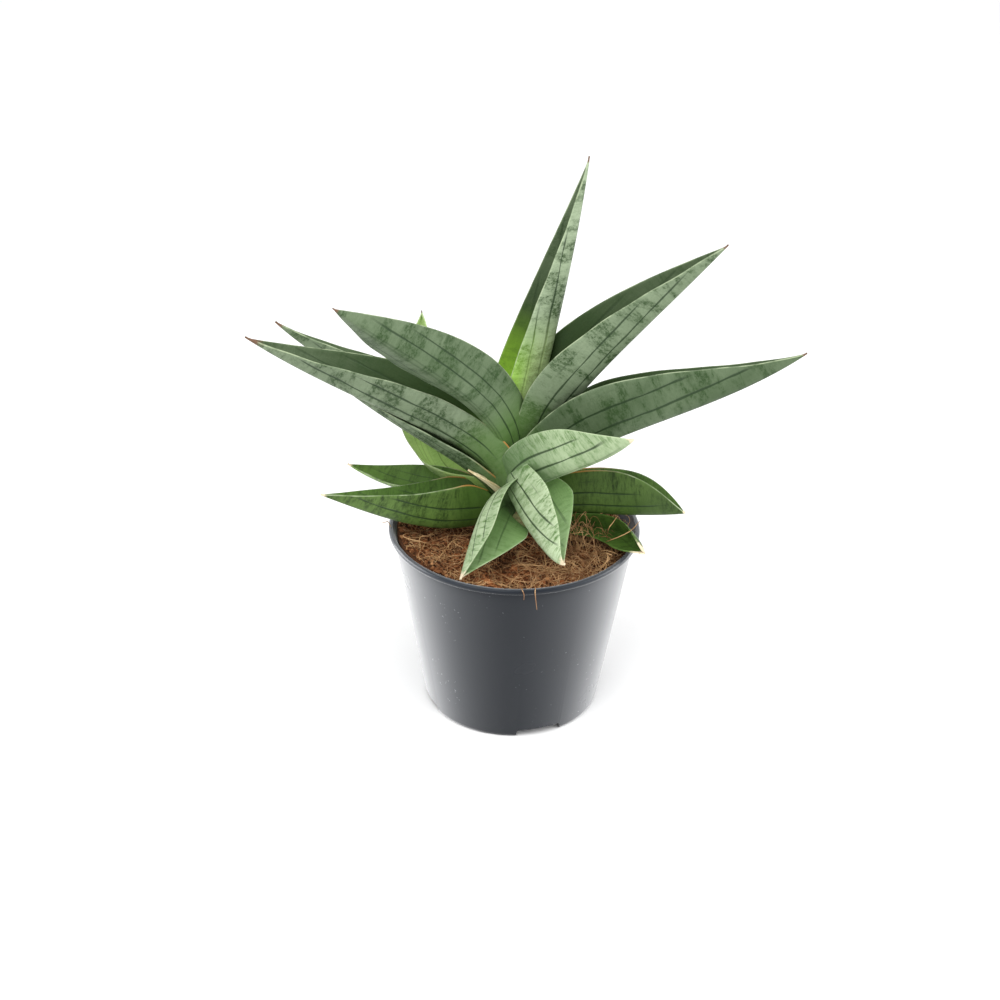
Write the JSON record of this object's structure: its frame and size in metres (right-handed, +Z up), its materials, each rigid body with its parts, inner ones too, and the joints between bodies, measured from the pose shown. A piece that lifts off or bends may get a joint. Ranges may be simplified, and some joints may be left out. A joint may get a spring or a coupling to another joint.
{
  "type": "potted snake plant",
  "caption": "Potted snake plant: a spreading rosette of channelled, pointed, dark-banded grey-green leaves on a short stem, in coir soil in a tapered round nursery pot.",
  "frame": {"origin": "centre of the underside of the pot, on the surface that the pot stands on, on the pot's axis", "axes": "+Z up along the pot's axis, -Y the front towards a viewer, +X to the viewer's right"},
  "size_m": [0.254, 0.122, 0.2721],
  "materials": {
    "pot": "satin",
    "soil": "matte",
    "stem": "matte",
    "leaf_grey": "satin",
    "leaf_mint": "satin",
    "leaf_dark": "satin",
    "leaf_dry": "matte"
  },
  "bodies": {
    "root": {"pot": "pot", "soil": "soil", "stem": "stem", "leaf_heart": "leaf_grey", "leaf_upper_right": "leaf_grey", "leaf_upper_left": "leaf_grey", "leaf_back_left": "leaf_grey", "leaf_mid_right": "leaf_grey", "leaf_long_left": "leaf_grey", "leaf_under_left": "leaf_grey", "leaf_back": "leaf_mint", "leaf_front_right": "leaf_mint", "leaf_front_droop": "leaf_mint", "leaf_front_folded": "leaf_mint", "leaf_low_left_back": "leaf_dark", "leaf_low_left_front": "leaf_dark", "leaf_low_right": "leaf_dark", "leaf_over_rim": "leaf_dark", "scale_leaf": "leaf_dry"}
  },
  "joints": []
}
